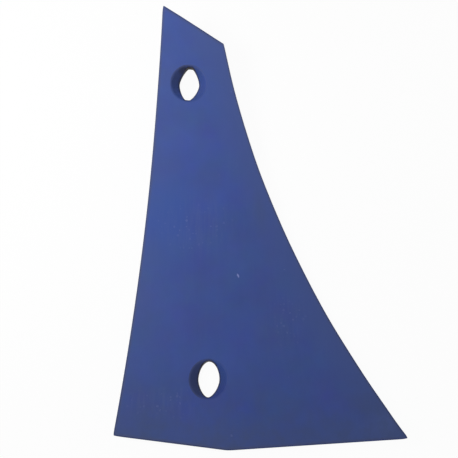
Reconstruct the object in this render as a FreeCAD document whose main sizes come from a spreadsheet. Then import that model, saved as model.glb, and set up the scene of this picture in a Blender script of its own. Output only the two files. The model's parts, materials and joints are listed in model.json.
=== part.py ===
"""Breast plate of a right-hand mouldboard plough body, lying on its back.

One steel plate, cut to shape, curved along its length and held by two countersunk plough bolts.
Body frame while the plate is made: the origin is the lower bolt hole on the working face, X points
to the cutting edge, Y runs up the plate and Z points out of the working face. At the end the plate
is turned about the centre of its curve until it lies balanced on its back.
Lengths are in millimetres and angles in degrees.
"""

import FreeCAD, Part

import math
import os

import Sketcher
from FreeCAD import Placement, Rotation, Vector

X_AXIS = Vector(1, 0, 0)
Z_AXIS = Vector(0, 0, 1)

# Driving dimensions. "Reach" is measured across the plate from the lower bolt hole, "rise" up the
# plate along the curve of its working face, and "drop" straight down from that hole's axis.
SIZES = {
    "plate_thickness": 8.0,
    "face_radius": 560.0,
    "heel_reach": 59.3,
    "heel_drop": 34.4,
    "break_reach": 12.5,
    "break_drop": 43.1,
    "point_reach": 125.5,
    "point_drop": 36.4,
    "peak_reach": 31.7,
    "peak_rise": 253.1,
    "shoulder_reach": 9.5,
    "shoulder_rise": 227.4,
    "joint_edge_radius": 5000.0,
    "cutting_edge_radius": 765.0,
    "corner_radius": 0.8,
    "break_radius": 40.0,
    "edge_rounding": 0.6,
    "bolt_spacing": 200.0,
    "upper_bolt_reach": 14.3,
    "neck_width": 14.0,
    "neck_length": 23.0,
    "neck_tip_radius": 3.0,
    "lower_hole_turn": 1.5,
    "upper_hole_turn": 5.0,
    "countersink_diameter": 24.0,
    "countersink_angle": 90.0,
}

doc = FreeCAD.newDocument("breast_plate")


# The size sheet

sheet = doc.addObject("Spreadsheet::Sheet", "Sizes")
for row, (alias, value) in enumerate(SIZES.items(), start=1):
    sheet.set(f"A{row}", alias)
    sheet.set(f"B{row}", str(value))
    sheet.setAlias(f"B{row}", alias)
doc.recompute()


def size(alias):
    """A driving dimension as the sheet holds it."""
    return float(sheet.get(alias))


def face_point(reach, rise, depth=0.0):
    """The point at that depth under the working face, at a reach and a rise along the curve."""
    turn = rise / size("face_radius")
    radius = size("face_radius") + depth
    return Vector(reach, radius * math.sin(turn), size("face_radius") - radius * math.cos(turn))


def margin():
    """How far the bar and the cuts run on past the outline."""
    return 2 * size("plate_thickness")


# Expressions that several features share

MARGIN = "2 * Sizes.plate_thickness"
TURN = "({rise}) / Sizes.face_radius * 1 rad"
PLAN_RISE = "Sizes.face_radius * sin(" + TURN + ")"
TOP_END = PLAN_RISE.format(rise=f"Sizes.peak_rise + {MARGIN}")
LOW_END = f"Sizes.break_drop + {MARGIN}"
LEFT_END = f"Sizes.heel_reach + {MARGIN}"
RIGHT_END = f"Sizes.point_reach + {MARGIN}"


# Sketch helpers

def origin_plane(body, role):
    """The body's own origin plane of that role, such as XY_Plane."""
    return next(plane for plane in body.Origin.OriginFeatures if plane.Role == role)


def new_sketch(body, name, role):
    """A sketch on one of the body's origin planes."""
    sketch = body.newObject("Sketcher::SketchObject", name)
    sketch.AttachmentSupport = [(origin_plane(body, role), "")]
    sketch.MapMode = "FlatFace"
    return sketch


def lay_on_face(feature, reach, rise, depth="0"):
    """Attaches a feature square to the curved face, at a reach and rise, at a depth under it."""
    turn = TURN.format(rise=rise)
    radius = f"(Sizes.face_radius + {depth})"
    feature.setExpression("AttachmentOffset.Base.x", reach)
    feature.setExpression("AttachmentOffset.Base.y", f"{radius} * sin({turn})")
    feature.setExpression("AttachmentOffset.Base.z", f"Sizes.face_radius - {radius} * cos({turn})")
    feature.AttachmentOffset = Placement(Vector(), Rotation(X_AXIS, 1))
    feature.setExpression("AttachmentOffset.Rotation.Angle", turn)


def drive(sketch, kind, places, value, formula):
    """Adds a constraint of that kind and binds its value to a formula of the size sheet."""
    index = sketch.addConstraint(Sketcher.Constraint(kind, *places, value))
    sketch.setExpression(f"Constraints[{index}]", formula)


def drive_point(sketch, place, position, across, along):
    """Fixes a sketch point by its distances from the origin. A formula that starts with a minus
    sign puts the point to the left of the origin or below it."""
    for kind, offset, formula in (("DistanceX", position.x, across), ("DistanceY", position.y, along)):
        if formula.startswith("-"):
            drive(sketch, kind, (*place, -1, 1), abs(offset), formula[1:])
        else:
            drive(sketch, kind, (-1, 1, *place), abs(offset), formula)


def join(sketch, *pairs):
    """Makes each pair of end points coincide."""
    for first, second in pairs:
        sketch.addConstraint(Sketcher.Constraint("Coincident", *first, *second))


def arc_between(start, end, radius):
    """The short arc of that radius that runs counter-clockwise from start to end."""
    chord = end - start
    middle = (start + end) * 0.5
    inward = Vector(-chord.y, chord.x, 0).normalize()
    centre = middle + inward * math.sqrt(radius**2 - (chord.Length / 2) ** 2)
    angles = [math.atan2(point.y - centre.y, point.x - centre.x) for point in (start, end)]
    if angles[1] < angles[0]:
        angles[1] += 2 * math.pi
    return Part.ArcOfCircle(Part.Circle(centre, Z_AXIS, radius), *angles)


def rectangle(sketch, low, high):
    """Four lines round a rectangle: bottom, right, top and left. Returns their numbers."""
    corners = [Vector(low.x, low.y), Vector(high.x, low.y), Vector(high.x, high.y), Vector(low.x, high.y)]
    lines = [
        sketch.addGeometry(Part.LineSegment(corners[side], corners[(side + 1) % 4]))
        for side in range(4)
    ]
    join(sketch, *[((lines[side], 2), (lines[(side + 1) % 4], 1)) for side in range(4)])
    for side, kind in enumerate(("Horizontal", "Vertical", "Horizontal", "Vertical")):
        sketch.addConstraint(Sketcher.Constraint(kind, lines[side]))
    return lines


def cut_through(body, sketch, name):
    """Cuts the sketch's area away through the whole plate, both ways from the sketch."""
    pocket = body.newObject("PartDesign::Pocket", name)
    pocket.Profile = sketch
    pocket.Type = "ThroughAll"
    pocket.SideType = "Symmetric"
    return pocket


# The curved bar that the plate is cut from

def curved_bar(body):
    """A bar of the plate's thickness, curved to the working face and larger than the plate."""
    section = new_sketch(body, "bar_section", "YZ_Plane")
    radius = size("face_radius")
    thickness = size("plate_thickness")
    low = -(size("break_drop") + margin())
    high = face_point(0, size("peak_rise") + margin()).y
    arcs = []
    for bar_radius in (radius, radius + thickness):
        ends = [Vector(end, radius - math.sqrt(bar_radius**2 - end**2)) for end in (low, high)]
        arcs.append(section.addGeometry(arc_between(*ends, bar_radius)))
    for side in (1, 2):
        start, stop = (section.getPoint(arc, side) for arc in arcs)
        end = section.addGeometry(Part.LineSegment(start, stop))
        join(section, ((end, 1), (arcs[0], side)), ((end, 2), (arcs[1], side)))
        section.addConstraint(Sketcher.Constraint("Vertical", end))
    join(section, ((arcs[0], 3), (arcs[1], 3)))
    section.addConstraint(Sketcher.Constraint("PointOnObject", arcs[0], 3, -2))
    drive(section, "DistanceY", (-1, 1, arcs[0], 3), radius, "Sizes.face_radius")
    drive(section, "Radius", (arcs[0],), radius, "Sizes.face_radius")
    drive(section, "Radius", (arcs[1],), radius + thickness, "Sizes.face_radius + Sizes.plate_thickness")
    drive(section, "DistanceX", (arcs[0], 1, -1, 1), -low, LOW_END)
    drive(section, "DistanceX", (-1, 1, arcs[0], 2), high, TOP_END)

    bar = body.newObject("PartDesign::Pad", "curved_bar")
    bar.Profile = section
    bar.SideType = "Two sides"
    bar.setExpression("Length", RIGHT_END)
    bar.setExpression("Length2", LEFT_END)


# The outline, looking down on the plate

def trim_outline(body):
    """Cuts away what lies outside the two side edges and the two lower edges."""
    sketch = new_sketch(body, "outline", "XY_Plane")
    high = face_point(0, size("peak_rise") + margin()).y
    frame_low = Vector(-(size("heel_reach") + 2 * margin()), -(size("break_drop") + 2 * margin()))
    frame_high = Vector(size("point_reach") + 2 * margin(), high + margin())
    frame = rectangle(sketch, frame_low, frame_high)
    drive_point(sketch, (frame[0], 1), frame_low, f"-({LEFT_END} + {MARGIN})", f"-({LOW_END} + {MARGIN})")
    drive_point(sketch, (frame[1], 2), frame_high, f"{RIGHT_END} + {MARGIN}", f"{TOP_END} + {MARGIN}")

    heel = Vector(-size("heel_reach"), -size("heel_drop"))
    bend = Vector(size("break_reach"), -size("break_drop"))
    point = Vector(size("point_reach"), -size("point_drop"))
    peak = Vector(-size("peak_reach"), face_point(0, size("peak_rise")).y)
    shoulder = Vector(size("shoulder_reach"), face_point(0, size("shoulder_rise")).y)

    # Both side edges are arcs that run on past the top edge, which is cut later.
    joint_arc = arc_between(heel, peak, size("joint_edge_radius"))
    cutting_arc = arc_between(shoulder, point, size("cutting_edge_radius"))
    joint_end = run_on(joint_arc, high)
    cutting_end = run_on(cutting_arc, high)
    joint_edge = sketch.addGeometry(arc_between(heel, joint_end, size("joint_edge_radius")))
    cutting_edge = sketch.addGeometry(arc_between(cutting_end, point, size("cutting_edge_radius")))
    heel_edge = sketch.addGeometry(Part.LineSegment(heel, bend))
    share_edge = sketch.addGeometry(Part.LineSegment(bend, point))
    top = sketch.addGeometry(Part.LineSegment(joint_end, cutting_end))
    join(
        sketch,
        ((joint_edge, 1), (heel_edge, 1)),
        ((heel_edge, 2), (share_edge, 1)),
        ((share_edge, 2), (cutting_edge, 2)),
        ((cutting_edge, 1), (top, 2)),
        ((top, 1), (joint_edge, 2)),
    )
    drive_point(sketch, (heel_edge, 1), heel, "-Sizes.heel_reach", "-Sizes.heel_drop")
    drive_point(sketch, (share_edge, 1), bend, "Sizes.break_reach", "-Sizes.break_drop")
    drive_point(sketch, (share_edge, 2), point, "Sizes.point_reach", "-Sizes.point_drop")
    sketch.addConstraint(Sketcher.Constraint("Horizontal", top))
    drive(sketch, "DistanceY", (-1, 1, top, 1), high, TOP_END)

    corners = (
        (joint_edge, "joint_edge_radius", peak, "-Sizes.peak_reach", "Sizes.peak_rise"),
        (cutting_edge, "cutting_edge_radius", shoulder, "Sizes.shoulder_reach", "Sizes.shoulder_rise"),
    )
    for edge, radius, corner, across, rise in corners:
        mark = sketch.addGeometry(Part.Point(corner), True)
        drive_point(sketch, (mark, 1), corner, across, PLAN_RISE.format(rise=rise))
        sketch.addConstraint(Sketcher.Constraint("PointOnObject", mark, 1, edge))
        drive(sketch, "Radius", (edge,), size(radius), f"Sizes.{radius}")
    return cut_through(body, sketch, "outline_cut")


def run_on(arc, height):
    """Where the side edge's circle, continued, reaches that height on the plate's side of it."""
    circle = arc.Circle
    across = math.sqrt(circle.Radius**2 - (height - circle.Center.y) ** 2)
    side = 1 if circle.Center.x < 0 else -1
    return Vector(circle.Center.x + side * across, height)


# The top edge, cut square to the curved face

def trim_top(body):
    """Cuts the top edge along the straight line from the peak to the shoulder."""
    sketch = new_sketch(body, "top_edge", "XY_Plane")
    lay_on_face(
        sketch,
        "(Sizes.shoulder_reach - Sizes.peak_reach) / 2",
        "(Sizes.peak_rise + Sizes.shoulder_rise) / 2",
    )
    half_width = (size("peak_reach") + size("shoulder_reach")) / 2
    half_fall = (size("peak_rise") - size("shoulder_rise")) / 2
    slope = -half_fall / half_width
    reach = half_width + margin()
    height = half_fall + 4 * margin()
    ends = [Vector(-reach, -reach * slope), Vector(reach, reach * slope)]
    corners = [*ends, Vector(reach, height), Vector(-reach, height)]
    lines = [
        sketch.addGeometry(Part.LineSegment(corners[side], corners[(side + 1) % 4]))
        for side in range(4)
    ]
    join(sketch, *[((lines[side], 2), (lines[(side + 1) % 4], 1)) for side in range(4)])
    for side, kind in ((1, "Vertical"), (2, "Horizontal"), (3, "Vertical")):
        sketch.addConstraint(Sketcher.Constraint(kind, lines[side]))
    across = "(Sizes.peak_reach + Sizes.shoulder_reach) / 2"
    fall = "(Sizes.peak_rise - Sizes.shoulder_rise) / 2"
    corner = Vector(-half_width, half_fall)
    peak = sketch.addGeometry(Part.Point(corner), True)
    drive_point(sketch, (peak, 1), corner, f"-{across}", fall)
    sketch.addConstraint(Sketcher.Constraint("PointOnObject", -1, 1, lines[0]))
    sketch.addConstraint(Sketcher.Constraint("PointOnObject", peak, 1, lines[0]))
    drive(sketch, "DistanceX", (lines[0], 1, -1, 1), reach, f"{across} + {MARGIN}")
    drive(sketch, "DistanceX", (-1, 1, lines[0], 2), reach, f"{across} + {MARGIN}")
    drive(sketch, "DistanceY", (-1, 1, lines[2], 1), height, f"{fall} + 4 * {MARGIN}")
    return cut_through(body, sketch, "top_cut")


# Rounded corners and edges

def edge_names(shape, chosen):
    """The names of the chosen edges in the shape's own list."""
    return [
        f"Edge{number}"
        for number, edge in enumerate(shape.Edges, start=1)
        if any(edge.isSame(other) for other in chosen)
    ]


def corner_edge(shape, reach, rise):
    """The edge that runs through the plate's thickness nearest to that corner of the outline."""
    middle = face_point(reach, rise, size("plate_thickness") / 2)
    return min(shape.Edges, key=lambda edge: (edge.CenterOfMass - middle).Length)


def round_edges(body, name, base, chosen, radius):
    """Rounds the chosen edges of the feature to the sheet's radius of that name."""
    fillet = body.newObject("PartDesign::Fillet", name)
    fillet.Base = (base, edge_names(base.Shape, chosen))
    fillet.setExpression("Radius", f"Sizes.{radius}")
    doc.recompute()
    return fillet


def round_outline(body, plate):
    """Rounds the corners of the outline, then the rims of the working face and of the back."""
    corners = [
        corner_edge(plate.Shape, reach, rise)
        for reach, rise in (
            (-size("heel_reach"), -size("heel_drop")),
            (size("point_reach"), -size("point_drop")),
            (-size("peak_reach"), size("peak_rise")),
            (size("shoulder_reach"), size("shoulder_rise")),
        )
    ]
    plate = round_edges(body, "sharp_corners", plate, corners, "corner_radius")
    bend = corner_edge(plate.Shape, size("break_reach"), -size("break_drop"))
    plate = round_edges(body, "share_break", plate, [bend], "break_radius")
    rims = []
    for radius in (size("face_radius"), size("face_radius") + size("plate_thickness")):
        broad = [
            face
            for face in plate.Shape.Faces
            if isinstance(face.Surface, Part.Cylinder) and math.isclose(face.Surface.Radius, radius)
        ]
        rims += max(broad, key=lambda face: face.Area).OuterWire.Edges
    return round_edges(body, "rims", plate, rims, "edge_rounding")


# The two plough-bolt holes

def neck_outline(sketch, turn):
    """A pointed oval of two long arcs and two small tip arcs. Its length runs along the plate,
    turned clockwise by the sheet's angle of that name."""
    half_width = size("neck_width") / 2
    tip_radius = size("neck_tip_radius")
    tip_centre = size("neck_length") / 2 - tip_radius
    side_radius = (half_width**2 + tip_centre**2 - tip_radius**2) / (2 * (half_width - tip_radius))
    side_centre = side_radius - half_width
    touch = math.atan2(tip_centre, side_centre)
    quarter = math.pi / 2
    lean = -math.radians(size(turn))

    def turned(across, along):
        return Vector(
            across * math.cos(lean) - along * math.sin(lean),
            across * math.sin(lean) + along * math.cos(lean),
        )

    def arc(across, along, radius, middle, half_angle):
        circle = Part.Circle(turned(across, along), Z_AXIS, radius)
        middle += lean
        return sketch.addGeometry(Part.ArcOfCircle(circle, middle - half_angle, middle + half_angle))

    right = arc(-side_centre, 0, side_radius, 0, touch)
    top = arc(0, tip_centre, tip_radius, quarter, quarter - touch)
    left = arc(side_centre, 0, side_radius, 2 * quarter, touch)
    bottom = arc(0, -tip_centre, tip_radius, 3 * quarter, quarter - touch)
    for first, second in ((right, top), (top, left), (left, bottom), (bottom, right)):
        sketch.addConstraint(Sketcher.Constraint("Tangent", first, 2, second, 1))
    spine = sketch.addGeometry(Part.LineSegment(turned(0, -tip_centre), turned(0, tip_centre)), True)
    join(sketch, ((spine, 1), (bottom, 3)), ((spine, 2), (top, 3)))
    sketch.addConstraint(Sketcher.Constraint("Symmetric", spine, 1, spine, 2, -1, 1))
    length_formula = "Sizes.neck_length - 2 * Sizes.neck_tip_radius"
    side_formula = (
        f"(pow(Sizes.neck_width; 2) + pow({length_formula}; 2) - 4 * pow(Sizes.neck_tip_radius; 2))"
        " / (4 * Sizes.neck_width - 8 * Sizes.neck_tip_radius)"
    )
    drive(sketch, "Angle", (spine,), quarter + lean, f"90 deg - Sizes.{turn} * 1 deg")
    drive(sketch, "Distance", (spine,), 2 * tip_centre, length_formula)
    for tip in (top, bottom):
        drive(sketch, "Radius", (tip,), tip_radius, "Sizes.neck_tip_radius")
    for side in (right, left):
        drive(sketch, "Radius", (side,), side_radius, side_formula)


def bolt_hole(body, name, reach, rise):
    """A hole square to the face: an oval for the bolt's neck and a cone for its head."""
    neck = new_sketch(body, f"{name}_neck", "XY_Plane")
    lay_on_face(neck, reach, rise)
    neck_outline(neck, f"{name}_turn")
    cut_through(body, neck, f"{name}_neck_cut")

    # The cutter is a pointed cone that starts above the face, so that it clears the curve.
    half_angle = "(Sizes.countersink_angle / 2 * 1 deg)"
    tip_depth = f"Sizes.countersink_diameter / 2 / tan({half_angle})"
    cone = body.newObject("PartDesign::SubtractiveCone", f"{name}_countersink")
    cone.AttachmentSupport = [(origin_plane(body, "XY_Plane"), "")]
    cone.MapMode = "FlatFace"
    lay_on_face(cone, reach, rise, depth=tip_depth)
    cone.Radius1 = 0
    cone.setExpression("Height", f"{tip_depth} + Sizes.plate_thickness / 2")
    cone.setExpression(
        "Radius2",
        f"Sizes.countersink_diameter / 2 + Sizes.plate_thickness / 2 * tan({half_angle})",
    )
    return cone


# How the plate lies

def lying_placement(shape):
    """Turns the plate about its curve's centre until its weight hangs below that centre, and puts
    the middle of its bounding box above the origin with its back on the ground."""
    centre = Vector(0, 0, size("face_radius"))
    weight = shape.CenterOfMass
    lean = math.degrees(math.atan2(weight.y, centre.z - weight.z))
    turned = Placement(Vector(), Rotation(X_AXIS, -lean), centre)
    box = shape.transformed(turned.toMatrix()).optimalBoundingBox(False, False)
    shift = Vector(-box.Center.x, -box.Center.y, size("plate_thickness"))
    return Placement(shift, Rotation()).multiply(turned)


def make_plate():
    """The breast plate as one body."""
    body = doc.addObject("PartDesign::Body", "breast_plate")
    body.Label = "breast_plate"
    curved_bar(body)
    trim_outline(body)
    plate = trim_top(body)
    doc.recompute()
    round_outline(body, plate)
    bolt_hole(body, "lower_hole", "0", "0")
    bolt_hole(body, "upper_hole", "-Sizes.upper_bolt_reach", "Sizes.bolt_spacing")
    doc.recompute()
    body.Placement = lying_placement(body.Shape.Solids[0])
    doc.recompute()
    return body


def check_model(bodies):
    """Stops if any object of the document failed, or a body's shape isn't one sound solid."""
    for item in doc.Objects:
        if "Invalid" in item.State or "Error" in item.State:
            raise RuntimeError(f"{item.Name} failed: {item.State}")
    for body in bodies:
        if body.Shape.isNull() or not body.Shape.isValid() or len(body.Shape.Solids) != 1:
            raise RuntimeError(f"{body.Label} isn't one valid solid")


bodies = [make_plate()]
check_model(bodies)
os.makedirs("parts", exist_ok=True)
for body in bodies:
    body.Shape.exportStep(f"parts/{body.Label}.step")
    box = body.Shape.optimalBoundingBox(False, False)
    print(body.Label, "volume", round(body.Shape.Volume, 1), "mm3, box", box)
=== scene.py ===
# %% [markdown]
# # A mouldboard breast, painted blue
# The breast is the curved steel plate at the front of a plough's mouldboard. It takes most of the wear, so
# it is a part of its own, held by two countersunk bolts. This lesson rebuilds the plate with soft rims and
# a cut edge, paints it, and sets it on a white table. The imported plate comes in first, as the frame that
# every later size is held against.

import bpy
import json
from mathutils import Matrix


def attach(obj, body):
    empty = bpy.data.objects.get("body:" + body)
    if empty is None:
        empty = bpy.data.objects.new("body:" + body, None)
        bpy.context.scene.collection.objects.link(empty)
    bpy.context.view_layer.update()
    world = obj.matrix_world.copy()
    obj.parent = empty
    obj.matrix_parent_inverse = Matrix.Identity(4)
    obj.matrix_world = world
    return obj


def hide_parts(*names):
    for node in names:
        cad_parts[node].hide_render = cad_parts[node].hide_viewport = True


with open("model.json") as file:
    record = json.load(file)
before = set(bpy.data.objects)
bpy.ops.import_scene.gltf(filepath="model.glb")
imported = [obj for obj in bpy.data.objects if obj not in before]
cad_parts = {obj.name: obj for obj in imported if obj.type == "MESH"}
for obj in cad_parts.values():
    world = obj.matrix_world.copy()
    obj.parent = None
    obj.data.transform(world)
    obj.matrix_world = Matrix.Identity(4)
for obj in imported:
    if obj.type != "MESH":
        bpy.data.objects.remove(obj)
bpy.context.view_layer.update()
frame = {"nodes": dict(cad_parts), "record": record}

# %% [markdown]
# ## The plate's sizes
# Lengths are in metres. The working face is hollow, part of a cylinder that lies across the plate. A sheet
# is easiest to draw while it is flat, so each place has two numbers: its reach towards the cutting edge, and
# its rise along the face, both from the middle of the lower hole. The corners of the outline are drawn on
# the plane that touches the face at that hole, and `along_face` turns a height there into a rise.

# %% Name the sizes
import json
import math

import bmesh
import bpy
from mathutils import Matrix, Vector
from mathutils.bvhtree import BVHTree

PLATE_THICKNESS = 0.008
FACE_RADIUS = 0.560
BACK_RADIUS = FACE_RADIUS + PLATE_THICKNESS
PEAK_RISE = 0.2531
SHOULDER_RISE = 0.2274
JOINT_EDGE_RADIUS = 5.000
CUTTING_EDGE_RADIUS = 0.765
LOWER_HOLE = Vector((0.0, 0.0))
UPPER_HOLE = Vector((-0.0143, 0.2000))


def on_plane(rise):
    """How high on the touching plane a point lies that has this rise along the curved face."""
    return FACE_RADIUS * math.sin(rise / FACE_RADIUS)


def along_face(height):
    """The rise along the curved face of a point that is this high on the touching plane."""
    return FACE_RADIUS * math.asin(height / FACE_RADIUS)


HEEL = Vector((-0.0593, -0.0344))
SHARE_BREAK = Vector((0.0125, -0.0431))
POINT = Vector((0.1255, -0.0364))
PEAK = Vector((-0.0317, on_plane(PEAK_RISE)))
SHOULDER = Vector((0.0095, on_plane(SHOULDER_RISE)))

print("length of the joint edge along the face:", round(along_face(PEAK.y) - along_face(HEEL.y), 4), "m")

# %% [markdown]
# ## The flat blank
# The real plate starts as flat sheet and is cut out with a flame. Its outline could be filled with one big
# face of many corners, but such a face creases when it is bent and subdivided. So a grid is stretched over
# the outline instead, like a cloth over a template, and its even squares stay smooth. Its four sides take
# the form of the plate's edges: the left and right ones are hollow arcs, the top is straight, and the bottom
# has its break at one of the columns. A flame is never quite steady, so three of the edges also get long
# low waves, a few tenths of a millimetre high.

# %% Where the flame wandered
# Each wave: how far up or across the edge it is, how long it is, and how far out it swings.
JOINT_EDGE_WAVES = ((0.78, 0.16, 0.0002), (0.50, 0.40, 0.0001))
CUTTING_EDGE_WAVES = ((1.00, 0.08, 0.0006), (0.70, 0.08, -0.0003), (0.68, 0.20, 0.0002),
                      (0.43, 0.08, 0.0002), (0.22, 0.06, 0.0002), (0.03, 0.04, -0.0005))
TOP_EDGE_WAVES = ((0.30, 0.15, 0.0001), (1.00, 0.30, -0.0004))


def wander(part, waves):
    """How far out of line the flame was at this share of the way along an edge."""
    return sum(out * math.exp(-((part - place) / length) ** 2) for place, length, out in waves)


print("the flame at the shoulder:", round(wander(1.0, CUTTING_EDGE_WAVES) * 1000, 2), "mm too far out")

# %% Points along the four edges
COLUMNS = 52
ROWS = 96
BREAK_COLUMN = 20


def hollow_edge(low, high, radius, side, part):
    """A point on the arc from low to high, whose centre is to the left (side -1) or the right (side 1)."""
    chord = high - low
    out = Vector((chord.y, -chord.x)).normalized() * side
    centre = (low + high) / 2 + out * math.sqrt(radius**2 - (chord.length / 2) ** 2)
    turn = 2 * math.asin(chord.length / 2 / radius) * part * -side
    arm = low - centre
    return centre + Vector((arm.x * math.cos(turn) - arm.y * math.sin(turn),
                            arm.x * math.sin(turn) + arm.y * math.cos(turn)))


def share_edge(part):
    """A point on the bottom, where the plate rests on the share."""
    to_break = BREAK_COLUMN / COLUMNS
    if part < to_break:
        return HEEL.lerp(SHARE_BREAK, part / to_break)
    return SHARE_BREAK.lerp(POINT, (part - to_break) / (1 - to_break))


def outline_point(across, up):
    """Blends the four edges, so that the grid's inner lines run evenly between them."""
    left = hollow_edge(HEEL, PEAK, JOINT_EDGE_RADIUS, -1, up)
    right = hollow_edge(POINT, SHOULDER, CUTTING_EDGE_RADIUS, 1, up)
    left.x -= wander(up, JOINT_EDGE_WAVES)
    right.x += wander(up, CUTTING_EDGE_WAVES)
    top = PEAK.lerp(SHOULDER, across)
    top.y += wander(across, TOP_EDGE_WAVES)
    between_ends = share_edge(across).lerp(top, up)
    between_sides = left.lerp(right, across)
    corners = HEEL.lerp(POINT, across).lerp(PEAK.lerp(SHOULDER, across), up)
    return between_ends + between_sides - corners


print("middle of the cutting edge:", outline_point(1.0, 0.5))

# %% [markdown]
# Each point of the grid keeps its column and row, by which the windows for the holes are found later. It
# also keeps which way is uphill along its column. When the plate is bent, its upper walls lean that way, and
# `TOP_SLOPE` scales the lean so that the sloping top edge moves as one straight line.

# %% Stretch the grid over the outline
TOP_SLOPE = (SHOULDER.y - PEAK.y) / (SHOULDER.x - PEAK.x)
SHORT_WAY = 0.01
blank = bmesh.new()
bmesh.ops.create_grid(blank, x_segments=COLUMNS, y_segments=ROWS, size=0.5)
column = blank.verts.layers.int.new("column")
row = blank.verts.layers.int.new("row")
uphill = blank.verts.layers.float_vector.new("uphill")
for v in blank.verts:
    v[column] = round((v.co.x + 0.5) * COLUMNS)
    v[row] = round((v.co.y + 0.5) * ROWS)
    across, up = v[column] / COLUMNS, v[row] / ROWS
    place = outline_point(across, up)
    v.co = Vector((place.x, along_face(place.y), 0))
    along_column = outline_point(across, up + SHORT_WAY) - outline_point(across, up - SHORT_WAY)
    lean = along_column.x / along_column.y
    v[uphill] = Vector((lean, 1, 0)) / (1 - lean * TOP_SLOPE)
print("flat blank:", len(blank.verts), "points,", len(blank.faces), "squares")

# %% [markdown]
# A cut corner isn't a needle point: its slag is ground off, and paint rounds it further. A bevel of the
# corner would pull the grid's squares apart, so the few points beside each corner are moved onto a small
# circle instead.

# %% Take the sharpness off the corners
CORNER_RADIUS = 0.0008

for corner in [v for v in blank.verts if len(v.link_edges) == 2]:
    tip = corner.co.copy()
    sides = [(e.other_vert(corner).co - tip).normalized() for e in corner.link_edges]
    half_angle = sides[0].angle(sides[1]) / 2
    centre = tip + (sides[0] + sides[1]).normalized() * CORNER_RADIUS / math.sin(half_angle)
    rounded = [v for v in blank.verts if (v.co - tip).length < CORNER_RADIUS / math.tan(half_angle)]
    for v in rounded:
        v.co = centre + (v.co - centre).normalized() * CORNER_RADIUS
    print("corner of", round(math.degrees(2 * half_angle), 1), "degrees:", len(rounded), "points moved")

# %% [markdown]
# ## The two bolt holes
# A plough bolt has a cone under its flat head and two nibs, which sit in a pointed oval neck and keep it
# from turning. So each hole is a round countersink with an oval neck in it. A Boolean cut would be quick,
# but it leaves slivers that spoil a soft rim. Here a window of squares becomes a single face, which is inset
# again and again, and each new ring is rounded. The outer rings are circles, the last one is the oval, and
# the rings between pass from one to the other.

# %% The neck's oval
RIM_RADIUS = 0.0120
RIM_SOFTNESS = 0.0006
NECK_HALF_WIDTH = 0.0069


def neck_reach(from_tip, half_length, fullness, blunt_end):
    """How far the neck's edge is from the middle, in a direction that many radians from its long axis.

    A fullness of 1 is a lozenge and 2 an oval. The punch leaves something in between, with a blunt end.
    """
    lengthwise, crosswise = abs(math.cos(from_tip)), abs(math.sin(from_tip))
    reach = ((lengthwise / half_length) ** fullness + (crosswise / NECK_HALF_WIDTH) ** fullness) ** (
        -1 / fullness)
    return min(reach, blunt_end / max(lengthwise, 0.001))


print("a neck 23 mm long reaches", round(neck_reach(math.pi / 4, 0.0115, 1.75, 0.0115) * 1000, 2),
      "mm at 45 degrees")

# %% Take a window out of the grid for each hole
COLLAR_RADIUS = 0.0150


def open_window(middle):
    """Joins the squares that the hole's collar touches, and one more all round, and returns that face."""
    near = [v for v in blank.verts if (v.co.xy - middle).length < COLLAR_RADIUS]
    columns = range(min(v[column] for v in near) - 1, max(v[column] for v in near) + 2)
    rows = range(min(v[row] for v in near) - 1, max(v[row] for v in near) + 2)
    inside = [f for f in blank.faces if all(v[column] in columns and v[row] in rows for v in f.verts)]
    return bmesh.ops.dissolve_faces(blank, faces=inside)["region"][0]


windows = [open_window(LOWER_HOLE), open_window(UPPER_HOLE)]
print("corners round the windows:", [len(w.verts) for w in windows])

# %% [markdown]
# Each neck was punched by itself, so it is turned a little its own way, and its two ends differ. The paint
# needs to know about the rings too: the side of each countersink that faces away from the light gets painted
# shade, and so does a strip round the neck. How far a point is from the neck and how much it faces the light
# are easy to tell while the rings are made, so each point keeps both.

# %% Inset and round the rings
RING_STEPS = (1.0, 0.92, 0.84, 0.76, 0.66, 0.5, 0.25, 0.0)
FIRST_INSET = 0.0001
TIP_CROWDING = 0.5
neck_gap = blank.verts.layers.float.new("neck_gap")
# How much each ring point faces the light; the cone's far side from it gets painted shade.
faces_light = blank.verts.layers.float.new("faces_light")


def round_rings(window, middle, turn, up, down, lit_side, shade_strength):
    """Insets a window again and again, from a round collar to the neck's edge, and opens the neck.

    up and down are the neck's half length, fullness and blunt end towards the top and the bottom. Points
    crowd towards its tips, where the edge turns most. Each point keeps how far it is from the neck's edge,
    and how much its cone faces the light, for painted shade on the far side. The last two arguments are the
    direction of the lit side, seen from the hole's middle, and how strong that painted shade is, from 0 to
    1.
    """
    window.normal_update()
    long_axis = math.pi / 2 + turn
    step = math.copysign(math.tau / len(window.verts), window.normal.z)
    unturned = [Matrix.Rotation(-i * step, 2) @ (v.co.xy - middle) for i, v in enumerate(window.verts)]
    start = sum(unturned, Vector((0, 0)))
    start = math.atan2(start.y, start.x)
    for part in ("collar",) + RING_STEPS:
        bmesh.ops.inset_individual(blank, faces=[window], thickness=FIRST_INSET)
        for i, v in enumerate(window.verts):
            from_tip = start + i * step - long_axis
            from_tip -= TIP_CROWDING * math.sin(2 * from_tip) / 2
            neck = neck_reach(from_tip, *(up if math.cos(from_tip) > 0 else down))
            radius = COLLAR_RADIUS
            if part != "collar":
                radius = neck + (RIM_RADIUS + RIM_SOFTNESS - neck) * part
            angle = long_axis + from_tip
            v.co = Vector((middle.x + radius * math.cos(angle), middle.y + radius * math.sin(angle), 0))
            v[uphill] = Vector((0, 1, 0))
            v[neck_gap] = radius - neck
            v[faces_light] = math.cos(angle - lit_side) * shade_strength
    bmesh.ops.delete(blank, geom=[window], context="FACES_ONLY")


# The last two arguments give the lit side of each cone; its far side gets painted shade.
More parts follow.
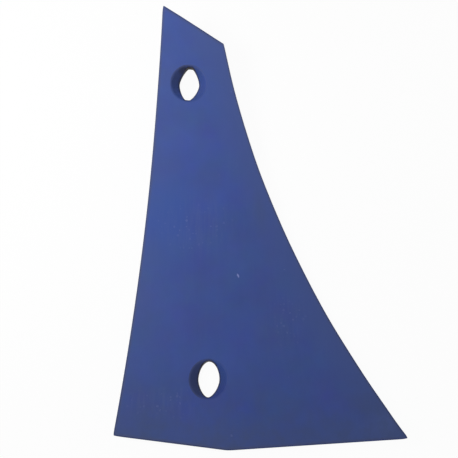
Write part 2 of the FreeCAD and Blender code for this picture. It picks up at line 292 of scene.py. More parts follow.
round_rings(windows[0], LOWER_HOLE, turn=math.radians(-1.5), up=(0.0117, 1.9, 0.0117),
            down=(0.0113, 1.6, 0.0112), lit_side=math.radians(-5), shade_strength=1.0)
round_rings(windows[1], UPPER_HOLE, turn=math.radians(-5.0), up=(0.0122, 1.45, 0.0112),
            down=(0.0122, 1.5, 0.0113), lit_side=math.radians(-50), shade_strength=0.45)
print("blank with its holes:", len(blank.faces), "faces")

# %% [markdown]
# ## From sheet to plate
# Extruding the whole sheet gives the plate its thickness and all its walls at once. The front rings round
# each hole are then let down to make the countersink, a cone at 45 degrees whose rim rolls over softly, as
# paint makes it. Last, the sharp edges get narrow bevels. They keep the edges crisp when the subdivision
# rounds the plate off, and they catch the light as real edges do.

# %% Extrude the sheet and let the countersinks down
outline = [v.co.xy for v in blank.verts if v.is_boundary and v[neck_gap] == 0 and v[faces_light] == 0]
extruded = bmesh.ops.extrude_face_region(blank, geom=blank.faces[:], use_keep_orig=True)["geom"]
back = [g for g in extruded if isinstance(g, bmesh.types.BMVert)]
bmesh.ops.translate(blank, vec=(0, 0, -PLATE_THICKNESS), verts=back)
bmesh.ops.recalc_face_normals(blank, faces=blank.faces[:])


def from_hole(point):
    """The distance from the middle of the nearer hole, seen square on to the sheet."""
    return min((point.xy - LOWER_HOLE).length, (point.xy - UPPER_HOLE).length)


def countersink_depth(radius):
    """How deep the cone is at this distance from the hole's middle, with its rim rolled over."""
    if radius >= RIM_RADIUS + RIM_SOFTNESS:
        return 0.0
    if radius > RIM_RADIUS - RIM_SOFTNESS:
        return (RIM_RADIUS + RIM_SOFTNESS - radius) ** 2 / (4 * RIM_SOFTNESS)
    return RIM_RADIUS - radius


for v in blank.verts:
    if v.co.z > -PLATE_THICKNESS / 2:
        v.co.z = -countersink_depth(from_hole(v.co))
print("deepest edge of the cone:", round(countersink_depth(NECK_HALF_WIDTH) * 1000, 2), "mm")

# %% Bevel the sharp edges
SHARP_TURN = math.radians(35)
NECK_ROUNDING = 0.0002
OUTLINE_ROUNDING = 0.0005


def bevel_edges(wanted, width):
    """Bevels the sharp edges that wanted(edge) picks out, and returns how many they are."""
    sharp = [e for e in blank.edges if e.calc_face_angle() > SHARP_TURN and wanted(e)]
    bmesh.ops.bevel(blank, geom=sharp, offset=width, offset_type="OFFSET", segments=2, profile=0.5,
                    affect="EDGES", material=-1)
    return len(sharp)


def at_hole(edge):
    return from_hole(edge.verts[0].co) < COLLAR_RADIUS


print("neck edges:", bevel_edges(at_hole, NECK_ROUNDING))
print("outline edges:", bevel_edges(lambda edge: not at_hole(edge), OUTLINE_ROUNDING))

# %% [markdown]
# ## Which paint goes where
# All of the plate is one blue, but the paint lies differently on a pressed face, on a turned cone, on a
# wall that was cut with a flame, and in the narrow necks, where hardly any gets in. The dark wall and neck
# finishes are also painted shade: the wall finish covers the rounded rims of the outline. Each face of the
# mesh gets a slot number for its finish while the plate is still flat, when its parts are easy to tell
# apart.
# Two more distances are kept on the points: from the hole's middle, for the rings of the countersinking
# tool, and from the outline, for the worn edge and its painted shade and highlight.

# %% Mark the finishes
FACE_FINISH, CONE_FINISH, WALL_FINISH, NECK_FINISH = range(4)
NEARLY_LEVEL = 0.95
STEEP = 0.6
hole_distance = blank.verts.layers.float.new("hole_distance")
edge_gap = blank.verts.layers.float.new("edge_gap")
for v in blank.verts:
    v[hole_distance] = from_hole(v.co)
    v[edge_gap] = min((v.co.xy - point).length for point in outline)
for f in blank.faces:
    f.normal_update()
    middle = f.calc_center_median()
    f.material_index = FACE_FINISH
    if from_hole(middle) > COLLAR_RADIUS:
        if abs(f.normal.z) < NEARLY_LEVEL:
            f.material_index = WALL_FINISH
    elif abs(f.normal.z) < STEEP:
        f.material_index = NECK_FINISH
    elif from_hole(middle) < RIM_RADIUS + RIM_SOFTNESS and f.normal.z > 0:
        f.material_index = CONE_FINISH
print("faces of each finish:", [sum(f.material_index == n for f in blank.faces) for n in range(4)])

# %% [markdown]
# ## Bending and laying down
# In the works the flat plate is heated and pressed over a former. A Simple Deform modifier could bend it
# too, but it would bend all the walls with the face. Here each point is turned round the curve's axis: its
# rise becomes an angle, and its depth runs from the hollow face to the round back. The walls of the lower
# half stay square to the face at the lower hole, and those of the upper half turn with the face. The plate
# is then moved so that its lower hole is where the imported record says.

# %% Bend the plate
UPPER_HOLE_TURN = UPPER_HOLE.y / FACE_RADIUS
TOP_WALL_TURN = (PEAK_RISE + SHOULDER_RISE) / 2 / FACE_RADIUS
UNTURNED_UP_TO = 0.100
TURNED_FROM = 0.185
HOLE_TURN_UP_TO = 0.215
TOP_TURN_FROM = 0.226


def wall_turn(rise):
    """How far the walls have turned at this rise: not at all, as at the upper hole, or as at the top."""
    to_hole = min(max((rise - UNTURNED_UP_TO) / (TURNED_FROM - UNTURNED_UP_TO), 0.0), 1.0)
    to_top = min(max((rise - HOLE_TURN_UP_TO) / (TOP_TURN_FROM - HOLE_TURN_UP_TO), 0.0), 1.0)
    return UPPER_HOLE_TURN * to_hole + (TOP_WALL_TURN - UPPER_HOLE_TURN) * to_top


def bent(point, way):
    """Where a point of the flat plate comes to be on the curved one. Its wall leans the given way."""
    around = point.y / FACE_RADIUS
    lean = wall_turn(point.y)
    on_face = Vector((point.x, FACE_RADIUS * math.sin(around), -FACE_RADIUS * math.cos(around)))
    inwards = way * math.sin(lean) - Vector((0, 0, math.cos(lean)))
    slant = on_face.yz.dot(inwards.yz)
    stretch = inwards.yz.length_squared
    through = (math.sqrt(slant**2 + stretch * (BACK_RADIUS**2 - FACE_RADIUS**2)) - slant) / stretch
    return on_face + inwards * through * -point.z / PLATE_THICKNESS + Vector((0, 0, FACE_RADIUS))


for v in blank.verts:
    v.co = bent(v.co, v[uphill])
lower_bolt = next(m for m in frame["record"]["mounts"] if m["name"] == "lower_bolt_hole")
tilt = math.atan2(lower_bolt["axis"][1], lower_bolt["axis"][2])
lay_down = Matrix.Translation(lower_bolt["pos_m"]) @ Matrix.Rotation(-tilt, 4, "X")
bmesh.ops.transform(blank, matrix=lay_down, verts=blank.verts)
print("the face slopes", round(math.degrees(tilt), 2), "degrees at the lower hole")

# %% [markdown]
# ## The finished object
# Two modifiers finish the plate. Subdivision rounds every bevel off once more, and weighted normals let the
# broad face decide the shading beside its narrow bevels, so that no soft grey band runs along them. The
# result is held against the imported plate, and then takes its place.

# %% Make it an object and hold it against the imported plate
breast_mesh = bpy.data.meshes.new("breast")
blank.to_mesh(breast_mesh)
blank.free()
breast_mesh.shade_smooth()
breast = bpy.data.objects.new("breast", breast_mesh)
bpy.context.scene.collection.objects.link(breast)
rounding = breast.modifiers.new("rounding", "SUBSURF")
rounding.levels = rounding.render_levels = 1
even_shading = breast.modifiers.new("even_shading", "WEIGHTED_NORMAL")
even_shading.keep_sharp = True

finished = breast.evaluated_get(bpy.context.evaluated_depsgraph_get()).to_mesh()
packed_plate = BVHTree.FromObject(frame["nodes"]["breast_plate"], bpy.context.evaluated_depsgraph_get())
gaps = [packed_plate.find_nearest(v.co)[3] for v in finished.vertices]
print("triangles:", sum(len(p.vertices) - 2 for p in finished.polygons))
print("distance from the packed plate: mean", round(sum(gaps) / len(gaps) * 1000, 3), "mm, largest",
      round(max(gaps) * 1000, 3), "mm")

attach(breast, "root")
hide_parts("breast_plate")

# %% [markdown]
# ## A short way to write nodes
# A material is a small graph. `put` adds one node, sets it up, and gives each socket either a number or a
# wire from another node, so that a finish reads from top to bottom like a recipe. `effect` starts a group
# with named inputs and outputs: an effect made once, and placed in several finishes by `use`.

# %% Helpers for node graphs
def put(tree, kind, feeds=None, **settings):
    """Adds a node to a tree. feeds gives sockets, by name or number, a value or another node's output."""
    made = tree.nodes.new(kind)
    for name, value in settings.items():
        setattr(made, name, value)
    for socket, feed in (feeds or {}).items():
        if isinstance(feed, bpy.types.NodeSocket):
            tree.links.new(feed, made.inputs[socket])
        else:
            made.inputs[socket].default_value = feed
    return made


def effect(name, inputs, outputs):
    """Starts a shader node group and returns it with its input and output nodes."""
    group = bpy.data.node_groups.new(name, "ShaderNodeTree")
    for way, sockets in (("INPUT", inputs), ("OUTPUT", outputs)):
        for label, kind in sockets.items():
            group.interface.new_socket(name=label, in_out=way, socket_type="NodeSocket" + kind)
    return group, group.nodes.new("NodeGroupInput").outputs, group.nodes.new("NodeGroupOutput").inputs


def use(tree, group, feeds):
    """Places an effect in a finish, feeds it, and returns its outputs."""
    return put(tree, "ShaderNodeGroup", feeds, node_tree=group).outputs


def math_node(tree, operation, first, second=0.0, third=0.0):
    return put(tree, "ShaderNodeMath", {0: first, 1: second, 2: third}, operation=operation).outputs[0]


def blend_colour(tree, amount, under, over, way="MIX"):
    return put(tree, "ShaderNodeMix", {0: amount, 6: under, 7: over},
               data_type="RGBA", blend_type=way).outputs[2]


def ramp_between(tree, value, low, high, out_low=0.0, out_high=1.0):
    return put(tree, "ShaderNodeMapRange", {0: value, 1: low, 2: high, 3: out_low, 4: out_high}).outputs[0]


print("helpers ready: put, effect, use, math_node, blend_colour, ramp_between")

# %% [markdown]
# ## Effects shared by the finishes
# All finishes show the same paint, steel and dirt, so the effects that more than one of them has are groups.
# The first is the paint's colour. Sprayed paint is never quite flat: it has broad soft clouds where it is
# thicker, fine mottling from handling, and a slight drift of hue where it was not mixed through. A single
# noise would look like marble, so each of the three has its own noise, at its own scale.

# %% Clouds and mottling in the colour
clouds, given, result = effect(
    "paint_clouds",
    {"Place": "Vector", "Paint": "Color", "Thin Paint": "Color", "Clouds": "Float", "Mottling": "Float",
     "Hue Drift": "Float"},
    {"Color": "Color", "Unevenness": "Float"})
broad = put(clouds, "ShaderNodeTexNoise", {"Vector": given["Place"], "Scale": 17.0, "Detail": 3.0,
                                           "Roughness": 0.55, "Distortion": 0.3}).outputs["Fac"]
fine = put(clouds, "ShaderNodeTexNoise", {"Vector": given["Place"], "Scale": 210.0, "Detail": 4.0,
                                          "Roughness": 0.65}).outputs["Fac"]
broad_part = math_node(clouds, "MULTIPLY", ramp_between(clouds, broad, 0.3, 0.7), given["Clouds"])
fine_part = math_node(clouds, "MULTIPLY", ramp_between(clouds, fine, 0.3, 0.7), given["Mottling"])
thin = math_node(clouds, "ADD", broad_part, fine_part)
paint = blend_colour(clouds, thin, given["Paint"], given["Thin Paint"])
drift = put(clouds, "ShaderNodeTexNoise", {"Vector": given["Place"], "Scale": 45.0, "Detail": 3.0,
                                           "Roughness": 0.6}).outputs["Color"]
drift = blend_colour(clouds, 1.0, drift, (2.0, 2.0, 2.0, 1.0), "MULTIPLY")
clouds.links.new(blend_colour(clouds, given["Hue Drift"], paint, drift, "MULTIPLY"), result["Color"])
clouds.links.new(thin, result["Unevenness"])
print("paint_clouds has", len(clouds.nodes), "nodes")

# %% [markdown]
# A flame leaves drag lines across a cut wall, and a face is brushed along its length. Both are streaks: a
# noise whose coordinates are squeezed one way, so that its grains are drawn out into lines. A patch is one
# marked place, such as a scuff or a chip. The distance from its middle is measured in half sizes, and a
# second noise is added to it, so that its border is ragged and not a plain oval.

# %% Streaks
streaks, given, result = effect(
    "streaks", {"Place": "Vector", "Stretch": "Vector", "Fineness": "Float"}, {"Streak": "Float"})
drawn_out = put(streaks, "ShaderNodeMapping", {"Vector": given["Place"],
                                               "Scale": given["Stretch"]}).outputs[0]
streak = put(streaks, "ShaderNodeTexNoise", {"Vector": drawn_out, "Scale": given["Fineness"],
                                             "Detail": 3.0}).outputs["Fac"]
streaks.links.new(streak, result["Streak"])
print("streaks has", len(streaks.nodes), "nodes")

# %% A patch at a marked place
patch, given, result = effect(
    "patch", {"Place": "Vector", "Middle": "Vector", "Half Size": "Vector", "Turn": "Vector",
              "Softness": "Float", "Raggedness": "Float"}, {"Mask": "Float"})
from_middle = put(patch, "ShaderNodeMapping", {"Vector": given["Place"], "Location": given["Middle"],
                                               "Rotation": given["Turn"], "Scale": given["Half Size"]},
                  vector_type="TEXTURE").outputs[0]
how_far = put(patch, "ShaderNodeVectorMath", {0: from_middle}, operation="LENGTH").outputs["Value"]
ragged = put(patch, "ShaderNodeTexNoise", {"Vector": given["Place"], "Scale": given["Raggedness"],
                                           "Detail": 3.0}).outputs["Fac"]
how_far = math_node(patch, "ADD", how_far, math_node(patch, "SUBTRACT", ragged, 0.5))
outside = math_node(patch, "ADD", 1.0, given["Softness"])
inside = math_node(patch, "SUBTRACT", 1.0, given["Softness"])
patch.links.new(ramp_between(patch, how_far, outside, inside), result["Mask"])
print("patch has", len(patch.nodes), "nodes")

# %% [markdown]
# Paint goes first from the edges. The same band of colour also paints light: along the outline it is partly
# painted shade and highlight on the rounded rim, and by the necks it is painted shade. Curvature could find
# the edges, but it would also find the soft rims, which are not worn. The distances that the points keep say
# exactly how far each place is from its edge, so the band follows them, and again a noise makes its border
# ragged.

# %% Wear and painted shade along an edge
edge_wear_and_shade, given, result = effect(
    "edge_wear_and_shade", {"Place": "Vector", "Gap": "Float", "Fully Marked": "Float", "Unmarked": "Float",
                  "Raggedness": "Float", "Wander": "Float"}, {"Mask": "Float"})
ragged = put(edge_wear_and_shade, "ShaderNodeTexNoise", {"Vector": given["Place"], "Scale": given["Raggedness"],
                                               "Detail": 3.0}).outputs["Fac"]
gap = math_node(edge_wear_and_shade, "MULTIPLY_ADD", ragged, given["Wander"], given["Gap"])
edge_wear_and_shade.links.new(ramp_between(edge_wear_and_shade, gap, given["Unmarked"], given["Fully Marked"]), result["Mask"])
print("edge_wear_and_shade has", len(edge_wear_and_shade.nodes), "nodes")

# %% [markdown]
# Close to, sprayed paint has a skin like orange peel, where its drops ran together, with fine dust in it.
# And it has pale specks, which are grit and small knocks. A noise can't make specks that stand alone, but a
# Voronoi texture gives each cell a middle and a random colour. The colour's three parts choose which cells
# have a speck, how large it is and how strong.

# %% Orange peel in the skin
peel, given, result = effect("orange_peel", {"Place": "Vector", "Grain": "Float"}, {"Height": "Float"})
swell = put(peel, "ShaderNodeTexNoise", {"Vector": given["Place"], "Scale": given["Grain"], "Detail": 1.0,
                                         "Roughness": 0.4}).outputs["Fac"]
dust_grain = math_node(peel, "MULTIPLY", given["Grain"], 4.0)
dust = put(peel, "ShaderNodeTexNoise", {"Vector": given["Place"], "Scale": dust_grain,
                                        "Detail": 2.0}).outputs["Fac"]
peel.links.new(math_node(peel, "ADD", swell, math_node(peel, "MULTIPLY", dust, 0.25)), result["Height"])
print("orange_peel has", len(peel.nodes), "nodes")

# %% Pale specks
SPECK_WANDER = 0.0012
specks, given, result = effect(
    "pale_specks", {"Place": "Vector", "Spacing": "Float", "Size": "Float", "Share": "Float"},
    {"Mask": "Float"})
per_metre = math_node(specks, "DIVIDE", 1.0, given["Spacing"])
wobble = put(specks, "ShaderNodeTexNoise", {"Vector": given["Place"], "Scale": 900.0, "Detail": 2.0})
moved = put(specks, "ShaderNodeVectorMath", {0: wobble.outputs["Color"], 1: (SPECK_WANDER,) * 3},
            operation="MULTIPLY").outputs[0]
moved = put(specks, "ShaderNodeVectorMath", {0: given["Place"], 1: moved}, operation="ADD").outputs[0]
cells = put(specks, "ShaderNodeTexVoronoi", {"Vector": moved, "Scale": per_metre})
lucky = put(specks, "ShaderNodeSeparateColor", {0: cells.outputs["Color"]}).outputs
reach = math_node(specks, "MULTIPLY", math_node(specks, "MULTIPLY", lucky[1], given["Size"]), per_metre)
dot = math_node(specks, "LESS_THAN", cells.outputs["Distance"], reach)
chosen = math_node(specks, "LESS_THAN", lucky[0], given["Share"])
strength = ramp_between(specks, lucky[2], 0.0, 1.0, 0.2, 1.0)
specks.links.new(math_node(specks, "MULTIPLY", math_node(specks, "MULTIPLY", dot, chosen), strength),
                 result["Mask"])
print("pale_specks has", len(specks.nodes), "nodes")

# %% [markdown]
# ## The paint's colours
# Blender counts colours in linear light, so these numbers are lower than a colour picker's. The worn, shaded
# and soiled tones are all the same blue, made greyer or darker. Wear and soil do that to it; the shaded tone
# is painted shade, and so are part of the worn tone and part of the near-black steel. All four finishes read
# the place on the object, so no pattern slides or stretches, and none needs an unwrapped picture. Their
# gloss is weak and broad, as on satin paint.

# %% Name the colours and start a finish
BLUE = (0.032, 0.068, 0.300, 1.0)
THIN_BLUE = (0.037, 0.075, 0.285, 1.0)
GREYER_BLUE = (0.043, 0.077, 0.262, 1.0)
# Worn paint along the outline, and painted shade and highlight on its rounded rim.
WORN_AND_SHADED_BLUE = (0.050, 0.068, 0.170, 1.0)
# Painted shade on the side of each countersink that faces away from the light.
SHADED_BLUE = (0.033, 0.052, 0.165, 1.0)
WALL_BLUE = (0.022, 0.036, 0.110, 1.0)
WIPED_BLUE = (0.026, 0.074, 0.330, 1.0)
DUSTY = (0.110, 0.150, 0.300, 1.0)
SOILED = (0.045, 0.070, 0.165, 1.0)
UNDERCOAT = (0.190, 0.230, 0.520, 1.0)
# Nearly black: bare steel, and painted shade in the necks and beside them.
BARE_STEEL_AND_SHADE = (0.014, 0.014, 0.022, 1.0)
RUST = (0.036, 0.022, 0.018, 1.0)
SATIN_GLOSS = 0.3


def new_finish(name):
    """Starts a material and returns it with its tree, its shader and the place on the object."""
    material = bpy.data.materials.new(name)
    material.use_nodes = True
    tree = material.node_tree
    shader = tree.nodes["Principled BSDF"]
    shader.inputs["Specular IOR Level"].default_value = SATIN_GLOSS
    return material, tree, shader, put(tree, "ShaderNodeTexCoord").outputs["Object"]


def give_skin(tree, shader, height, strength, depth, roughness):
    """Gives a finish its fine relief and its roughness."""
    bump = put(tree, "ShaderNodeBump", {"Strength": strength, "Distance": depth, "Height": height})
    tree.links.new(bump.outputs[0], shader.inputs["Normal"])
    tree.links.new(roughness, shader.inputs["Roughness"])


print("blue paint:", BLUE[:3])

# %% [markdown]
# ## Satin paint on the face
# The face is sprayed and has been handled: some places are dusty, soiled or wiped, four are scuffed, soil
# has dried near the share, and one small chip shows the pale undercoat. Clouds alone would make every place
# look like every other, so these marks are listed one by one, where the real plate has them. All but the
# first, which is too faint to matter, are thin, so that they don't reach through to the back.

# %% The marks on the face
# Each mark: its middle, its half size, its turn in degrees, its colour, and how strong it is.
MARKS = (((0.0550, -0.1050, 0.012), (0.0240, 0.0750, 1.0), 31, DUSTY, 0.06),
         ((0.0798, -0.1324, 0.016), (0.0110, 0.0080, 0.006), 0, DUSTY, 0.17),
         ((0.0020, 0.0060, 0.010), (0.0040, 0.0170, 0.006), 8, SOILED, 0.30),
         ((0.0660, -0.1200, 0.014), (0.0100, 0.0060, 0.006), 0, SOILED, 0.30),
         ((-0.0770, -0.0530, 0.009), (0.0050, 0.0150, 0.006), 0, SOILED, 0.20),
         ((-0.0760, -0.1310, 0.016), (0.0230, 0.0120, 0.006), 0, SOILED, 0.28),
         ((-0.0600, 0.0020, 0.010), (0.0170, 0.0260, 0.006), 0, WIPED_BLUE, 0.80))
# Each scuff: its middle and its half size.
SCUFFS = (((-0.0430, -0.0020, 0.009), (0.0200, 0.0170, 0.006)),
          ((0.0207, -0.0660, 0.009), (0.0100, 0.0130, 0.006)),
          ((-0.0620, -0.1180, 0.014), (0.0200, 0.0080, 0.006)),
          ((-0.0080, 0.0870, 0.022), (0.0060, 0.0200, 0.010)))
CHIP_PLACE = (-0.0135, -0.0366, 0.008)
CHIP_HALF_SIZE = (0.0006, 0.0014, 0.004)
CHIP_TURN = (0.0, 0.0, math.radians(25))
print(len(MARKS), "marks and", len(SCUFFS), "scuffs on the face")

# %% Clouds, greyer towards the cutting edge, and the marks
face_paint, tree, shader, place = new_finish("face_paint")
tone = use(tree, clouds, {"Place": place, "Paint": BLUE, "Thin Paint": THIN_BLUE,
                          "Clouds": 0.7, "Mottling": 0.3, "Hue Drift": 0.25})
axes = put(tree, "ShaderNodeSeparateXYZ", {0: place}).outputs
from_edge = put(tree, "ShaderNodeAttribute", attribute_name="edge_gap").outputs["Fac"]
towards_edge = math_node(tree, "MULTIPLY", ramp_between(tree, from_edge, 0.022, 0.002),
                         ramp_between(tree, axes["X"], -0.058, -0.035, 0.2, 1.0))
coloured = blend_colour(tree, towards_edge, tone["Color"], GREYER_BLUE)
for middle, half_size, turn, colour, share in MARKS:
    mark = use(tree, patch, {"Place": place, "Middle": middle, "Half Size": half_size,
                             "Turn": (0.0, 0.0, math.radians(turn)), "Softness": 0.6,
                             "Raggedness": 60.0})["Mask"]
    coloured = blend_colour(tree, math_node(tree, "MULTIPLY", mark, share), coloured, colour)
print("with its marks, face_paint has", len(tree.nodes), "nodes")

# %% Soil near the share
soil_patches = put(tree, "ShaderNodeTexNoise", {"Vector": place, "Scale": 120.0, "Detail": 5.0,
                                                "Roughness": 0.6}).outputs["Fac"]
soil = math_node(tree, "MULTIPLY", ramp_between(tree, axes["Y"], -0.095, -0.140),
                 ramp_between(tree, soil_patches, 0.38, 0.62))
coloured = blend_colour(tree, math_node(tree, "MULTIPLY", soil, 0.4), coloured, SOILED)
print("with soil, it has", len(tree.nodes), "nodes")

# %% Scuffs, brushing, dust and grit
scuffed = 0.0
for middle, half_size in SCUFFS:
    scuff = use(tree, patch, {"Place": place, "Middle": middle, "Half Size": half_size,
                              "Softness": 0.5, "Raggedness": 150.0})["Mask"]
    scuffed = math_node(tree, "MAXIMUM", scuffed, scuff)
brushed = use(tree, streaks, {"Place": place, "Stretch": (1.0, 0.08, 1.0), "Fineness": 450.0})["Streak"]
pale = math_node(tree, "MULTIPLY", ramp_between(tree, brushed, 0.42, 0.66),
                 ramp_between(tree, scuffed, 0.0, 1.0, 0.02, 0.10))
coloured = blend_colour(tree, pale, coloured, DUSTY)
dust = use(tree, specks, {"Place": place, "Spacing": 0.009, "Size": 0.0009, "Share": 0.16})["Mask"]
grit = use(tree, specks, {"Place": place, "Spacing": 0.0021, "Size": 0.0009, "Share": 0.45})["Mask"]
dust = math_node(tree, "MAXIMUM", dust, math_node(tree, "MULTIPLY", grit, scuffed))
coloured = blend_colour(tree, math_node(tree, "MULTIPLY", dust, 0.22), coloured, UNDERCOAT)
print("with scuffs, it has", len(tree.nodes), "nodes")

# %% The worn edge with its painted shade and highlight, the chip and the skin
# Along the outline: worn paint, and painted shade and highlight on the rounded rim.
worn_and_shaded_edge = use(tree, edge_wear_and_shade, {"Place": place, "Gap": from_edge, "Fully Marked": 0.0010, "Unmarked": 0.0030,
                             "Raggedness": 350.0, "Wander": 0.0012})["Mask"]
coloured = blend_colour(tree, math_node(tree, "MULTIPLY", worn_and_shaded_edge, 0.85), coloured, WORN_AND_SHADED_BLUE)
chip = use(tree, patch, {"Place": place, "Middle": CHIP_PLACE, "Half Size": CHIP_HALF_SIZE,
                         "Turn": CHIP_TURN, "Softness": 0.1, "Raggedness": 1500.0})["Mask"]
tree.links.new(blend_colour(tree, chip, coloured, UNDERCOAT), shader.inputs["Base Color"])
skin = use(tree, peel, {"Place": place, "Grain": 450.0})["Height"]
give_skin(tree, shader, math_node(tree, "SUBTRACT", skin, math_node(tree, "MULTIPLY", chip, 2.0)),
          strength=0.35, depth=0.00006,
          roughness=ramp_between(tree, tone["Unevenness"], 0.0, 1.0, 0.54, 0.62))
print("face_paint has", len(tree.nodes), "nodes")

# %% [markdown]
# ## Painted tool rings in the countersinks
# The cones were turned with a tool that leaves fine rings, and then painted with the rest. Rings could be
# cut into the mesh, but they are finer than its faces, so they are a sine of the distance from the hole's
# middle, seen through the paint as faint darker bands and a slight relief. The side that faces away from
# the light gets painted shade, and so do a dark strip by the neck and a dark patch in the upper hole's upper
# left.

# %% Paint in the countersinks
RING_PITCH = 0.0011
# Middle of a dark patch of painted shade in the upper hole's upper left.
UPPER_LEFT_SHADE_PLACE = (-0.0508, 0.1043, 0.0246)
cone_paint, tree, shader, place = new_finish("cone_paint")
tone = use(tree, clouds, {"Place": place, "Paint": BLUE, "Thin Paint": THIN_BLUE,
                          "Clouds": 0.7, "Mottling": 0.3, "Hue Drift": 0.25})
distance = put(tree, "ShaderNodeAttribute", attribute_name="hole_distance").outputs["Fac"]
rings = math_node(tree, "SINE", math_node(tree, "MULTIPLY", distance, math.tau / RING_PITCH))
# Painted shade: darker on the side of each cone that faces away from the light.
facing_light = put(tree, "ShaderNodeAttribute", attribute_name="faces_light").outputs["Fac"]
far_side_shade = ramp_between(tree, facing_light, 0.1, -0.5)
coloured = blend_colour(tree, far_side_shade, tone["Color"], SHADED_BLUE)
coloured = blend_colour(tree, ramp_between(tree, rings, -1.0, 1.0, 0.02, 0.22), coloured, WALL_BLUE)
print("with its rings, cone_paint has", len(tree.nodes), "nodes")

# %% Painted shade by the necks and in the upper hole
# Painted shade: a dark strip along the neck's edge, and a dark patch in the upper hole's upper left.
from_neck = put(tree, "ShaderNodeAttribute", attribute_name="neck_gap").outputs["Fac"]
painted_dark_shade = use(tree, edge_wear_and_shade, {"Place": place, "Gap": from_neck, "Fully Marked": 0.0005, "Unmarked": 0.0016,
                             "Raggedness": 600.0, "Wander": 0.0006})["Mask"]
upper_left_shade = use(tree, patch, {"Place": place, "Middle": UPPER_LEFT_SHADE_PLACE, "Half Size": (0.0030, 0.0022, 1.0),
                           "Turn": (0.0, 0.0, math.radians(35)), "Softness": 0.5,
                           "Raggedness": 400.0})["Mask"]
painted_dark_shade = math_node(tree, "MAXIMUM", math_node(tree, "MULTIPLY", painted_dark_shade, 0.65),
                 math_node(tree, "MULTIPLY", upper_left_shade, 0.7))
tree.links.new(blend_colour(tree, painted_dark_shade, coloured, BARE_STEEL_AND_SHADE), shader.inputs["Base Color"])
skin = use(tree, peel, {"Place": place, "Grain": 600.0})["Height"]
give_skin(tree, shader, math_node(tree, "ADD", rings, skin), strength=0.5, depth=0.00004,
          roughness=ramp_between(tree, tone["Unevenness"], 0.0, 1.0, 0.50, 0.60))
print("cone_paint has", len(tree.nodes), "nodes")

# %% [markdown]
# ## Thin paint and painted shade on the flame-cut walls
# The flame leaves drag lines from front to back, which show through the paint. Displacing the mesh would
# need many more faces for lines a tenth of a millimetre deep, so they are relief in the material, from
# streaks that are drawn out through the plate. Paint is thinner and darker here, with more dust in it. The
# darker blue is also painted shade on the rounded rims of the outline, which have this finish too.

# %% Paint on the walls
wall_paint, tree, shader, place = new_finish("wall_paint")
# The walls' dark blue is thin paint, and also painted shade on the rounded rims of the outline.
tone = use(tree, clouds, {"Place": place, "Paint": WALL_BLUE, "Thin Paint": BLUE,
                          "Clouds": 0.25, "Mottling": 0.25, "Hue Drift": 0.2})
drag = use(tree, streaks, {"Place": place, "Stretch": (1.0, 1.0, 0.06), "Fineness": 800.0})["Streak"]
dust = use(tree, specks, {"Place": place, "Spacing": 0.004, "Size": 0.0006, "Share": 0.3})["Mask"]
tree.links.new(blend_colour(tree, math_node(tree, "MULTIPLY", dust, 0.3), tone["Color"], DUSTY),
               shader.inputs["Base Color"])
give_skin(tree, shader, drag, strength=0.7, depth=0.0002,
          roughness=ramp_between(tree, drag, 0.3, 0.7, 0.5, 0.65))
print("wall_paint has", len(tree.nodes), "nodes")

# %% [markdown]
# ## Nearly bare steel and painted shade in the necks
# Hardly any paint reaches the narrow necks, so they are dark steel with a little rust, and a few drops of
# overspray. Their near-black is also painted shade, the dark of the deep narrow holes and of their edges.
# One noise gives the rust its place, its relief and its roughness, because on real steel the three go
# together. The four finishes then fill the slots that the faces were marked with.

# %% Steel and painted shade in the necks, and all four finishes in their slots
neck_steel_and_shade, tree, shader, place = new_finish("neck_steel_and_shade")
rusty = put(tree, "ShaderNodeTexNoise", {"Vector": place, "Scale": 240.0, "Detail": 4.0}).outputs["Fac"]
# Nearly black: bare steel with rust, and painted shade of the deep narrow necks.
steel_and_shade = blend_colour(tree, ramp_between(tree, rusty, 0.42, 0.62), BARE_STEEL_AND_SHADE, RUST)
overspray = use(tree, specks, {"Place": place, "Spacing": 0.002, "Size": 0.0012, "Share": 0.35})["Mask"]
tree.links.new(blend_colour(tree, math_node(tree, "MULTIPLY", overspray, 0.4), steel_and_shade, WALL_BLUE),
               shader.inputs["Base Color"])
give_skin(tree, shader, rusty, strength=0.6, depth=0.0001,
          roughness=ramp_between(tree, rusty, 0.4, 0.6, 0.55, 0.8))
for finish in (face_paint, cone_paint, wall_paint, neck_steel_and_shade):
    breast_mesh.materials.append(finish)
print("neck_steel_and_shade has", len(tree.nodes), "nodes")

# %% [markdown]
# ## Table and light
# The plate lies on a pale table that looks white all the way to the edge of the picture. A stronger lamp
# would make it white too, but would wash out the paint. So the table is plain matt white, and to the camera
# and to reflections it also glows: it stays white where the light is weak, and still shows the plate's
# shadow. From below it is clear, so the back can be looked at. A soft lamp on the left gives form to the
# holes, a larger one overhead evens out the face, and the pale room fills the rest.

# %% The white table
TABLE_HALF_WIDTH = 2.0
TABLE_GLOW_SHARE = 0.95
table_shape = bmesh.new()
bmesh.ops.create_grid(table_shape, x_segments=1, y_segments=1, size=TABLE_HALF_WIDTH)
table_mesh = bpy.data.meshes.new("table")
table_shape.to_mesh(table_mesh)
table_shape.free()
table = bpy.data.objects.new("table", table_mesh)
bpy.context.scene.collection.objects.link(table)
print("table:", 2 * TABLE_HALF_WIDTH, "m square")

# %% White that keeps its shadows
table_white = bpy.data.materials.new("table_white")
table_white.use_nodes = True
tree = table_white.node_tree
tree.nodes.remove(tree.nodes["Principled BSDF"])


def looked_at(tree):
    """1 for rays from the camera, off a gloss or through glass, and 0 for light on its way."""
    ray = put(tree, "ShaderNodeLightPath").outputs
    either = math_node(tree, "MAXIMUM", ray["Is Camera Ray"], ray["Is Glossy Ray"])
    return math_node(tree, "MAXIMUM", either, ray["Is Transmission Ray"])


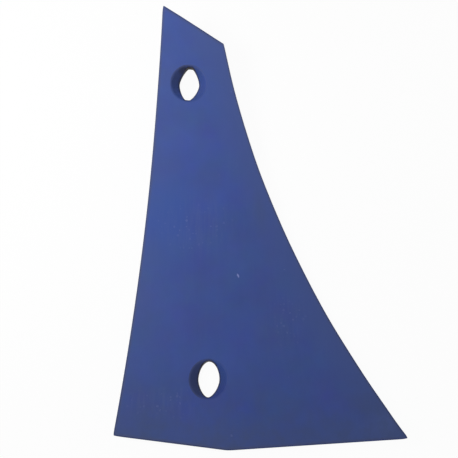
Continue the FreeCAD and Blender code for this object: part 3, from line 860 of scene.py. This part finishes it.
matt = put(tree, "ShaderNodeBsdfDiffuse", {"Color": (0.9, 0.9, 0.9, 1.0)}).outputs[0]
glow = put(tree, "ShaderNodeEmission", {"Color": (1.0, 1.0, 1.0, 1.0), "Strength": 1.0}).outputs[0]
clear = put(tree, "ShaderNodeBsdfTransparent").outputs[0]
glow_share = math_node(tree, "MULTIPLY", looked_at(tree), TABLE_GLOW_SHARE)
white = put(tree, "ShaderNodeMixShader", {0: glow_share, 1: matt, 2: glow}).outputs[0]
underneath = put(tree, "ShaderNodeNewGeometry").outputs["Backfacing"]
seen = put(tree, "ShaderNodeMixShader", {0: underneath, 1: white, 2: clear}).outputs[0]
tree.links.new(seen, tree.nodes["Material Output"].inputs["Surface"])
table_mesh.materials.append(table_white)
print("table_white has", len(tree.nodes), "nodes")

# %% The pale room
ROOM_LIGHT = 0.27
WALL_WHITE = 1.0
CEILING_GREY = 0.65
world = bpy.data.worlds.new("room")
bpy.context.scene.world = world
world.use_nodes = True
tree = world.node_tree
upward = put(tree, "ShaderNodeSeparateXYZ",
             {0: put(tree, "ShaderNodeTexCoord").outputs["Generated"]}).outputs["Z"]
shown = ramp_between(tree, upward, 0.35, 0.85, WALL_WHITE, CEILING_GREY)
strength = put(tree, "ShaderNodeMix", {0: looked_at(tree), 2: ROOM_LIGHT, 3: shown}).outputs[0]
background = tree.nodes["Background"]
background.inputs["Color"].default_value = (1.0, 1.0, 1.0, 1.0)
tree.links.new(strength, background.inputs["Strength"])
print("room light:", ROOM_LIGHT)


# %% The two soft lamps
def soft_lamp(name, place, aim, size, watts):
    """Hangs a square soft lamp that the camera doesn't see."""
    light = bpy.data.lights.new(name, "AREA")
    light.shape = "SQUARE"
    light.size = size
    light.energy = watts
    hung = bpy.data.objects.new(name, light)
    hung.location = place
    hung.rotation_euler = (Vector(aim) - Vector(place)).to_track_quat("-Z", "Y").to_euler()
    hung.visible_camera = False
    bpy.context.scene.collection.objects.link(hung)
    print(name, "hangs", round(place[2], 2), "m above the table")


soft_lamp("left_lamp", place=(-0.30, 0.0, 0.405), aim=(-0.32, 0.56, 0.0), size=0.20, watts=1.87)
soft_lamp("overhead_panel", place=(-0.10, -0.23, 1.20), aim=(0.0, 0.05, 0.0), size=0.50, watts=3.1)

# %% [markdown]
# ## The camera
# The picture was taken from above with a hand-held camera, leaning a little towards the top of the plate.
# Its place could be guessed and nudged until the picture looks right, but it can also be worked out: how
# much wider the near end looks than it is gives the distance, and how much the walls of the two holes show
# gives the lean. Near and low as it is, the camera sees into the holes from the side.

# %% Place the camera
CAMERA_PLACE = (-0.0191, -0.0872, 0.4047)
CAMERA_TURN_DEGREES = (11.76, 0.08, -0.10)
camera_data = bpy.data.cameras.new("camera")
camera_data.lens = 46.65
camera_data.sensor_width = 36.0
camera = bpy.data.objects.new("camera", camera_data)
camera.location = CAMERA_PLACE
camera.rotation_euler = [math.radians(degrees) for degrees in CAMERA_TURN_DEGREES]
bpy.context.scene.collection.objects.link(camera)
bpy.context.scene.camera = camera
bpy.context.scene.view_settings.view_transform = "Standard"
print("the camera hangs", CAMERA_PLACE[2], "m above the table")
